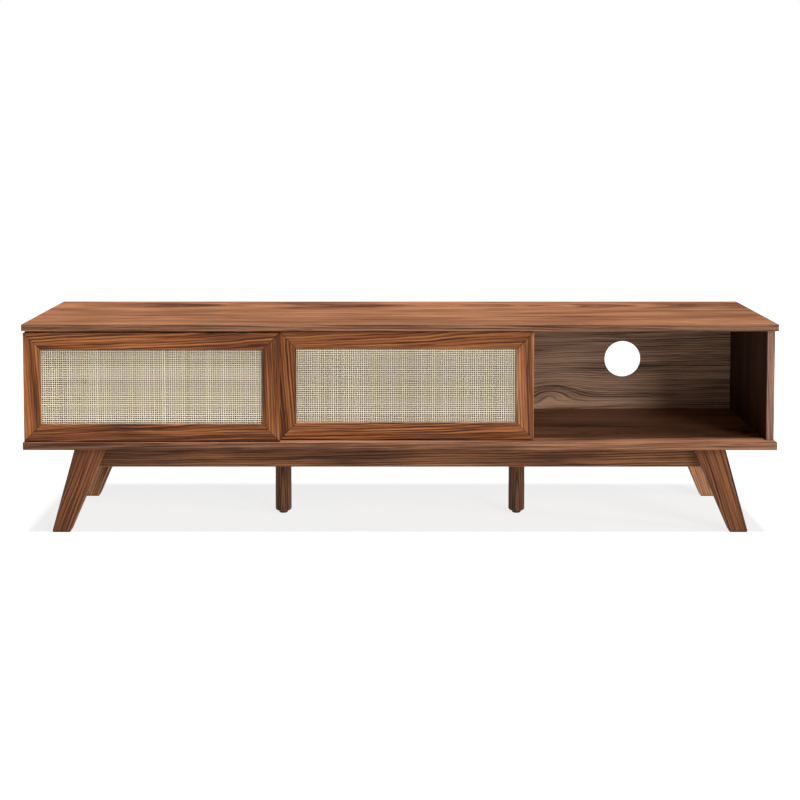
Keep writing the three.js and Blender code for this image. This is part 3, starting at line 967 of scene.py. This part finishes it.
@dataclass
class WovenCane:
    """A square open weave of split cane.

    Attributes:
        seed: Picks the irregularities.
        pitch: Mean distance between strands.
        thickness: Of a strand.
        swing: How far a strand rises and falls, as a share of its thickness.
        narrow: Smallest strand width, as a share of the pitch.
        wide: Largest strand width, as a share of the pitch.
        stray: How far a strand strays from its place, as a share of the pitch.
        waver: How far it wavers along its length, as a share of the pitch.
        waver_rate: How often it wavers, per pitch.
        tint: Spread of the strands' tones.
    """

    seed: int
    pitch: float = 0.0051
    thickness: float = 0.0009
    swing: float = 0.55
    narrow: float = 0.33
    wide: float = 0.44
    stray: float = 0.018
    waver: float = 0.14
    waver_rate: float = 0.8
    tint: float = 0.1

    def build(self, name: str, limits: Limits) -> Piece:
        """Weaves the cane in an upright sheet.

        Args:
            name: The piece's name.
            limits: The sheet's lowest and highest corners.

        Returns:
            The piece, with a tone attribute on its points.
        """
        chance = random.Random(self.seed)
        size = limits[1] - limits[0]
        columns = round(size.x / self.pitch)
        rows = round(size.z / self.pitch)
        steps = (size.x / columns, size.z / rows)
        weave = Solid()
        weave.mesh.verts.layers.float.new("tone")
        lying = self._strand(columns, steps[0])
        standing = self._strand(rows, steps[1])
        turn = Matrix.Rotation(-math.pi / 2, 4, "Y")
        for row in range(rows):
            place = limits[0] + Vector((0, size.y / 2, (row + 0.5) * steps[1]))
            self._lay(weave.mesh, lying, Matrix.Identity(4), place, row % 2 == 1, chance)
        lying_faces = len(weave.mesh.faces)
        for column in range(columns):
            place = limits[0] + Vector(((column + 0.5) * steps[0], size.y / 2, 0))
            self._lay(weave.mesh, standing, turn, place, column % 2 == 0, chance)
        for number, face in enumerate(weave.mesh.faces):
            face.material_index = int(number >= lying_faces)
        for strand in (lying, standing):
            bpy.data.meshes.remove(strand)
        return weave.finish(name, smooth_under=75.0)

    def _strand(self, crossings: int, step: float) -> bpy.types.Mesh:
        """One strand along X, rising and falling over the others, one pitch wide.

        Args:
            crossings: How many strands it crosses.
            step: Distance between them.

        Returns:
            The strand's mesh.
        """
        strand = bmesh.new()
        bmesh.ops.create_grid(strand, x_segments=2 * crossings, y_segments=4, size=1.0)
        for vert in strand.verts:
            along = (vert.co.x + 1) / 2 * crossings
            around = math.pi * (vert.co.y + 1)
            height = self.thickness * self.swing * math.cos(math.pi * (along - 0.5))
            vert.co = Vector((
                along * step,
                height + math.sin(around) * self.thickness / 2,
                math.cos(around) * self.pitch / 2,
            ))
        bmesh.ops.remove_doubles(strand, verts=strand.verts, dist=NEAR)
        bmesh.ops.holes_fill(strand, edges=[e for e in strand.edges if e.is_boundary], sides=4)
        bmesh.ops.recalc_face_normals(strand, faces=strand.faces)
        mesh = bpy.data.meshes.new("strand")
        strand.to_mesh(mesh)
        strand.free()
        return mesh

    def _lay(
        self,
        weave: bmesh.types.BMesh,
        strand: bpy.types.Mesh,
        turn: Matrix,
        place: Vector,
        under: bool,
        chance: random.Random,
    ) -> None:
        """Adds one strand to the weave.

        Args:
            weave: The weave.
            strand: The strand's mesh.
            turn: Turns it to lie or stand.
            place: Where its first end goes.
            under: Whether it starts behind the first strand that it crosses.
            chance: Source of the irregularities.
        """
        first_vert = len(weave.verts)
        weave.from_mesh(strand)
        weave.verts.ensure_lookup_table()
        width = chance.uniform(self.narrow, self.wide)
        flip = -1 if under else 1
        across = turn @ Vector((0, 0, 1))
        shift = place + across * chance.gauss(0, self.stray) * self.pitch
        shape = Matrix.Translation(shift) @ turn @ Matrix.Diagonal((1, flip, width * flip, 1))
        shade = min(1.0, max(0.0, chance.gauss(0.5, self.tint)))
        verts = weave.verts[first_vert:]
        bmesh.ops.transform(weave, matrix=shape, verts=verts)
        phase = chance.uniform(0.0, 90.0)
        tone = weave.verts.layers.float["tone"]
        for vert in verts:
            vert[tone] = shade
            reach = (vert.co - place).length / self.pitch
            drift = noise.noise(Vector((reach * self.waver_rate, phase, 0.5)))
            vert.co += across * drift * self.waver * self.pitch


@dataclass
class Door:
    """A mitred frame with a woven cane panel and its sliding gear.

    Attributes:
        name: The body, which its nodes' names start with.
        seed: Picks its wood and its weave.
        tones: How much lighter or darker than their kind single members are.
        finishes: Members whose finish differs from the others'.
        lip: Wood in front of the cane.
        rebate: How far the cane runs in behind the frame.
        seat: Depth of the glides' pockets.
        room: Air round a glide in its pocket.
        arris: Rounding of the frame's edges.
        mitre_gap: Air in a mitre joint, on each side.
    """

    name: str
    seed: int
    tones: dict[str, float] = field(default_factory=dict)
    finishes: dict[str, Walnut] = field(default_factory=dict)
    lip: float = 0.005
    rebate: float = 0.008
    seat: float = 0.0103
    room: float = 0.0003
    arris: float = 0.0012
    mitre_gap: float = 0.0003

    def build(self) -> None:
        """Builds the door."""
        self._members()
        self._cane()
        self._fittings()

    def _limits(self) -> Limits:
        """The door's frame as a box.

        Returns:
            Its lowest and highest corners.
        """
        low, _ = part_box(self.name + "_left_stile")
        _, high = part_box(self.name + "_right_stile")
        low.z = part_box(self.name + "_bottom_rail")[0].z
        high.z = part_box(self.name + "_top_rail")[1].z
        return low, high

    def _members(self) -> None:
        """The four mitred members, each made along X and turned to its edge."""
        low, high = self._limits()
        size = high - low
        for turns, kind in enumerate(("bottom_rail", "right_stile", "top_rail", "left_stile")):
            node = f"{self.name}_{kind}"
            lies = turns % 2 == 0
            length, reach = (size.x, size.z) if lies else (size.z, size.x)
            solid = self._member(length, lies)
            bmesh.ops.translate(solid.mesh, vec=(0, -size.y / 2, -reach / 2), verts=solid.mesh.verts)
            turn = Matrix.Rotation(-turns * math.pi / 2, 4, "Y")
            place = Matrix.Translation(middle((low, high))) @ turn
            bmesh.ops.transform(solid.mesh, matrix=place, verts=solid.mesh.verts)
            piece = solid.finish(node + "_member")
            cut = cut_for(
                node,
                Grain.LONG_UPRIGHT if lies else Grain.TALL_FACE,
                self.seed + 2 * turns,
                heart=0.05 + 0.008 * turns,
                offset=0.075 if lies else -0.075,
                taper=0.06,
                tone=self.tones.get(kind, 0.0),
            )
            finish = self.finishes.get(kind, DOOR_WALNUT)
            dress(piece, finish.material(node + "_walnut", cut))
            stand_for(piece, node, self.name)

    def _member(self, length: float, has_glides: bool) -> Solid:
        """One member along X, from its outer edge at z = 0, with its face at y = 0.

        Args:
            length: Length of its outer edge.
            has_glides: Whether glides are let into its outer edge.

        Returns:
            The solid.
        """
        low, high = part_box(self.name + "_left_stile")
        width, depth = high.x - low.x, high.y - low.y
        half = length / 2
        solid = Solid()
        outline = (
            (0, 0),
            (0, width),
            (self.lip, width),
            (self.lip, width - self.rebate),
            (depth, width - self.rebate),
            (depth, 0),
        )
        end = solid.mesh.faces.new([solid.mesh.verts.new((-half, y, z)) for y, z in outline])
        made = bmesh.ops.extrude_face_region(solid.mesh, geom=[end])
        far_verts = [v for v in made["geom"] if isinstance(v, bmesh.types.BMVert)]
        bmesh.ops.translate(solid.mesh, vec=(length, 0, 0), verts=far_verts)
        solid.face_outwards()
        if has_glides:
            for side, _ in SIDES:
                solid.carve(self._glide_pocket(side))
        for vert in solid.mesh.verts:
            if abs(abs(vert.co.x) - half) < NEAR:
                vert.co.x -= math.copysign(vert.co.z + self.mitre_gap, vert.co.x)
        solid.soften(self.arris, least_angle=40.0)
        return solid

    def _glide_pocket(self, side: str) -> Pocket:
        """The pocket for one glide, in the frame of a member along X.

        Args:
            side: Which end of the door it is at.

        Returns:
            The pocket.
        """
        low, high = self._limits()
        glide_low, glide_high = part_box(f"{self.name}_{side}_lower_glide")
        centre_x = (low.x + high.x) / 2
        first = Vector((glide_low.x - centre_x - self.room, glide_low.y - low.y - self.room, 0))
        second = Vector((glide_high.x - centre_x + self.room, glide_high.y - low.y + self.room, 0))
        return Pocket(first, second, 2, -1, self.seat)

    def _cane(self) -> None:
        """The woven cane, with one material for each way that its strands run."""
        node = self.name + "_cane"
        piece = WovenCane(self.seed).build(self.name + "_woven_cane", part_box(node))
        for way, fibre in (("lying", (60.0, 700.0, 2600.0)), ("standing", (2600.0, 700.0, 60.0))):
            piece.data.materials.append(CANE.material(f"{node}_{way}", fibre))
        stand_for(piece, node, self.name)

    def _fittings(self) -> None:
        """Finishes the beads and the glides, which keep their shapes."""
        for seed, place in enumerate(("lower", "upper", "left", "right"), start=self.seed + 30):
            node = f"{self.name}_{place}_bead"
            grain = Grain.LONG_UPRIGHT if place in ("lower", "upper") else Grain.TALL_FACE
            dress(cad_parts[node], DOOR_WALNUT.material(node + "_walnut", cut_for(node, grain, seed)))
        nylon = NYLON.material(self.name + "_nylon")
        for side, _ in SIDES:
            for level in ("lower", "upper"):
                dress(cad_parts[f"{self.name}_{side}_{level}_glide"], nylon)
        log.info("%s has its beads and glides", self.name)


# --- Base ---------------------------------------------------------------------------------------


@dataclass
class Base:
    """Rails, splayed legs, foot pads and corner blocks.

    Attributes:
        leg_top: Width of a leg at the top.
        leg_foot: Width of a leg at the floor.
        leg_arris: Rounding of a leg's edges.
        pad_arris: Rounding of a foot pad's edges.
    """

    leg_top: float = 0.076
    leg_foot: float = 0.0435
    leg_arris: float = 0.0022
    pad_arris: float = 0.0006

    def build(self) -> None:
        """Builds the base."""
        # Painted light: each rail grows lighter along its length, so the front and rear rails lighten
        # towards the right, where the light comes from.
        facts = {"heart": 0.05, "offset": 0.09, "taper": 0.03, "tone": -0.07, "fade": 0.13}
        for seed, place in enumerate(("front", "rear", "left", "right"), start=41):
            grain = Grain.LONG_UPRIGHT if place in ("front", "rear") else Grain.DEEP_FLAT
            Board(place + "_rail", BASE_WALNUT, grain, seed, facts).build()
        for row in ("front", "rear"):
            for side, sign in SIDES:
                corner = f"{row}_{side}"
                self._leg(corner, sign)
                self._pad(corner + "_foot_pad")
                block = corner + "_corner_block"
                cut = cut_for(block, Grain.TALL_FACE, 61 + sign)
                dress(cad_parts[block], PINE.material(block + "_pine", cut))

    def _leg(self, corner: str, sign: int) -> None:
        """One splayed leg.

        Args:
            corner: Its place, which its node's name starts with.
            sign: -1 on the left, 1 on the right.
        """
        node = corner + "_leg"
        low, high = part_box(node)
        centre = middle((low, high))
        solid = Solid.block((low, high))
        outer_foot = high.x if sign > 0 else low.x
        inner_top = low.x if sign > 0 else high.x
        for vert in solid.mesh.verts:
            outer = (vert.co.x - centre.x) * sign > 0
            if vert.co.z > centre.z:
                vert.co.x = inner_top + sign * self.leg_top if outer else inner_top
            else:
                vert.co.x = outer_foot if outer else outer_foot - sign * self.leg_foot
        solid.soften(self.leg_arris)
        piece = solid.finish(node + "_board")

        foot_middle = outer_foot - sign * self.leg_foot / 2
        top_middle = inner_top + sign * self.leg_top / 2
        lean = math.atan2(foot_middle - top_middle, high.z - low.z)
        seed = 51 + len(corner) + 3 * sign
        facts = {"heart": 0.04, "offset": 0.05, "taper": 0.05, "lean": lean, "tone": -0.06}
        finish = REAR_LEG_WALNUT_PAINTED_LIGHT.get(corner, LEG_WALNUT)
        cut = cut_for(node, Grain.TALL_FACE, seed, **facts)
        dress(piece, finish.material(node + "_walnut", cut))
        stand_for(piece, node, CASE)

    def _pad(self, node: str) -> None:
        """The felt pad under one leg.

        Args:
            node: The pad's frame node.
        """
        pad = Solid.block(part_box(node))
        pad.soften(self.pad_arris)
        piece = pad.finish(node + "_felt")
        dress(piece, FELT.material(node + "_felt"))
        stand_for(piece, node, CASE)


@dataclass
class MiddleLeg:
    """A round leg with its glide, plate and bolt.

    Attributes:
        side: left or right.
        end_radius: Rounding at its foot.
        end_steps: How many facets that rounding has.
        chamfer: At its top.
        bore: Radius of its two bores.
        bore_depth: Depth of each.
        stem: Radius of its glide's stem.
        cap: Height of its glide's foot.
    """

    side: str
    end_radius: float = 0.005
    end_steps: int = 6
    chamfer: float = 0.0008
    bore: float = 0.0043
    bore_depth: float = 0.0283
    stem: float = 0.004
    cap: float = 0.0064

    def build(self) -> None:
        """Builds the leg."""
        self._post()
        self._glide()
        steel = STEEL.material(self.side + "_middle_leg_steel")
        for kind in ("plate", "bolt"):
            dress(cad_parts[f"{self.side}_middle_leg_{kind}"], steel)
        log.info("%s middle leg has its plate and bolt", self.side)

    def _post(self) -> None:
        """The turned post."""
        node = self.side + "_middle_leg"
        low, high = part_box(node)
        radius = (high.x - low.x) / 2
        angles = [step / self.end_steps * math.pi / 2 for step in range(self.end_steps + 1)]
        rounding = [
            (radius - self.end_radius * (1 - math.sin(a)), low.z + self.end_radius * (1 - math.cos(a)))
            for a in angles
        ]
        profile = [
            (0.0, low.z + self.bore_depth),
            (self.bore, low.z + self.bore_depth),
            (self.bore, low.z),
            *rounding,
            (radius, high.z - self.chamfer),
            (radius - self.chamfer, high.z),
            (self.bore, high.z),
            (self.bore, high.z - self.bore_depth),
            (0.0, high.z - self.bore_depth),
        ]
        piece = Solid.turned(profile, middle((low, high))).finish(node + "_post", smooth_under=40.0)
        cut = cut_for(node, Grain.TALL_FACE, 71 + len(self.side), heart=0.03, taper=0.03)
        dress(piece, POST_WALNUT.material(node + "_walnut", cut))
        stand_for(piece, node, CASE)

    def _glide(self) -> None:
        """The screw-in glide, with a crowned foot and a grip groove round its rim."""
        node = self.side + "_foot_glide"
        low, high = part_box(node)
        radius = (high.x - low.x) / 2
        profile = [
            (0.0, low.z),
            (radius * 0.62, low.z),
            (radius - 0.0016, low.z + 0.0003),
            (radius - 0.0005, low.z + 0.0009),
            (radius, low.z + 0.0019),
            (radius, low.z + 0.0028),
            (radius - 0.0006, low.z + 0.0031),
            (radius - 0.0006, low.z + 0.0036),
            (radius, low.z + 0.0039),
            (radius, low.z + 0.0048),
            (radius - 0.0012, low.z + self.cap),
            (self.stem, low.z + self.cap),
            (self.stem, high.z),
            (0.0, high.z),
        ]
        piece = Solid.turned(profile, middle((low, high))).finish(node + "_turned", smooth_under=35.0)
        dress(piece, NYLON.material(node + "_nylon"))
        stand_for(piece, node, node)


# --- Studio -------------------------------------------------------------------------------------


@dataclass
class Studio:
    """Floor, light and camera.

    Attributes:
        camera_place: Where the camera stands.
        camera_pitch: How far it looks down, in degrees.
        lens: Its focal length in millimetres.
        shift: Its upward shift, as a share of the picture's side.
        surround: Strength of the light from all round.
        floor_grey: How much light the floor throws back.
        floor_glow: How much light it gives of its own.
    """

    camera_place: Triple = (0.0, -3.256, 0.983)
    camera_pitch: float = 3.0
    lens: float = 59.12
    shift: float = -0.2635
    surround: float = 0.1
    floor_grey: float = 0.18
    floor_glow: float = 0.8

    def build(self) -> None:
        """Builds the studio."""
        self._floor()
        self._lights()
        self._surround()
        self._camera()

    def _floor(self) -> None:
        """A plain pale floor that glows a little, like a light table."""
        sheet = Solid()
        bmesh.ops.create_grid(sheet.mesh, x_segments=1, y_segments=1, size=40.0)
        floor = sheet.finish("studio_floor")
        shader = Shader("studio_paper")
        for name, value in (
            ("Base Color", (self.floor_grey, self.floor_grey, self.floor_grey, 1.0)),
            ("Emission Color", (1.0, 1.0, 1.0, 1.0)),
            ("Emission Strength", self.floor_glow),
            ("Roughness", 0.9),
        ):
            shader.surface[name].default_value = value
        dress(floor, shader.material)

    def _lights(self) -> None:
        """Far soft lights: one overhead, a key low from the front right, an edge light and a fill."""
        for name, azimuth, elevation, spread, strength in (
            ("overhead", 15.0, 81.5, 8.0, 5.6),
            ("key", 38.0, 18.0, 26.0, 1.9),
            ("edge", 72.0, 12.0, 10.0, 1.2),
            ("fill", -35.0, 24.0, 40.0, 0.08),
        ):
            lamp = bpy.data.lights.new(name, "SUN")
            lamp.energy = strength
            lamp.angle = math.radians(spread)
            holder = bpy.data.objects.new(name, lamp)
            around, up = math.radians(azimuth), math.radians(elevation)
            level = math.cos(up)
            towards = Vector((math.sin(around) * level, -math.cos(around) * level, math.sin(up)))
            holder.location = towards * 4.0
            holder.rotation_euler = (-towards).to_track_quat("-Z", "Y").to_euler()
            bpy.context.scene.collection.objects.link(holder)

    def _surround(self) -> None:
        """A white background that lights the object only weakly."""
        world = bpy.data.worlds.new("surround")
        world.use_nodes = True
        nodes = world.node_tree.nodes
        path = nodes.new("ShaderNodeLightPath")
        level = nodes.new("ShaderNodeMapRange")
        level.inputs["To Min"].default_value = self.surround
        level.inputs["To Max"].default_value = 1.0
        world.node_tree.links.new(path.outputs["Is Camera Ray"], level.inputs["Value"])
        world.node_tree.links.new(level.outputs[0], nodes["Background"].inputs["Strength"])
        nodes["Background"].inputs["Color"].default_value = (1.0, 1.0, 1.0, 1.0)
        bpy.context.scene.world = world
        bpy.context.scene.view_settings.view_transform = "Standard"

    def _camera(self) -> None:
        """The camera in front of the console, a little above it."""
        data = bpy.data.cameras.new("camera")
        data.lens = self.lens
        data.sensor_width = 36.0
        data.shift_y = self.shift
        camera = bpy.data.objects.new("camera", data)
        camera.location = self.camera_place
        camera.rotation_euler = (math.radians(90.0 - self.camera_pitch), 0.0, 0.0)
        bpy.context.scene.collection.objects.link(camera)
        bpy.context.scene.camera = camera


# --- The whole console --------------------------------------------------------------------------


def main() -> None:
    """Builds every piece in order."""
    logging.basicConfig(level=logging.INFO, format="%(name)s: %(message)s")
    Studio().build()
    Case().build()
    # Painted shade: the front door's bottom rail is made darker, as the light from the right falls weakest
    # on the lower left.
    front_tones = {"bottom_rail": -0.14, "right_stile": -0.1, "left_stile": -0.04, "top_rail": -0.03}
    Door("front_door", seed=21, tones=front_tones).build()
    # Painted sheen: the rear door's right stile gets the paler walnut, standing in for the sheen of the
    # light from the right.
    rear_tones = {"bottom_rail": -0.05, "left_stile": -0.1, "right_stile": -0.03}
    Door("rear_door", seed=32, tones=rear_tones, finishes={"right_stile": DOOR_WALNUT_PAINTED_SHEEN}).build()
    Base().build()
    for side, _ in SIDES:
        MiddleLeg(side).build()


if __name__ == "__main__":
    main()
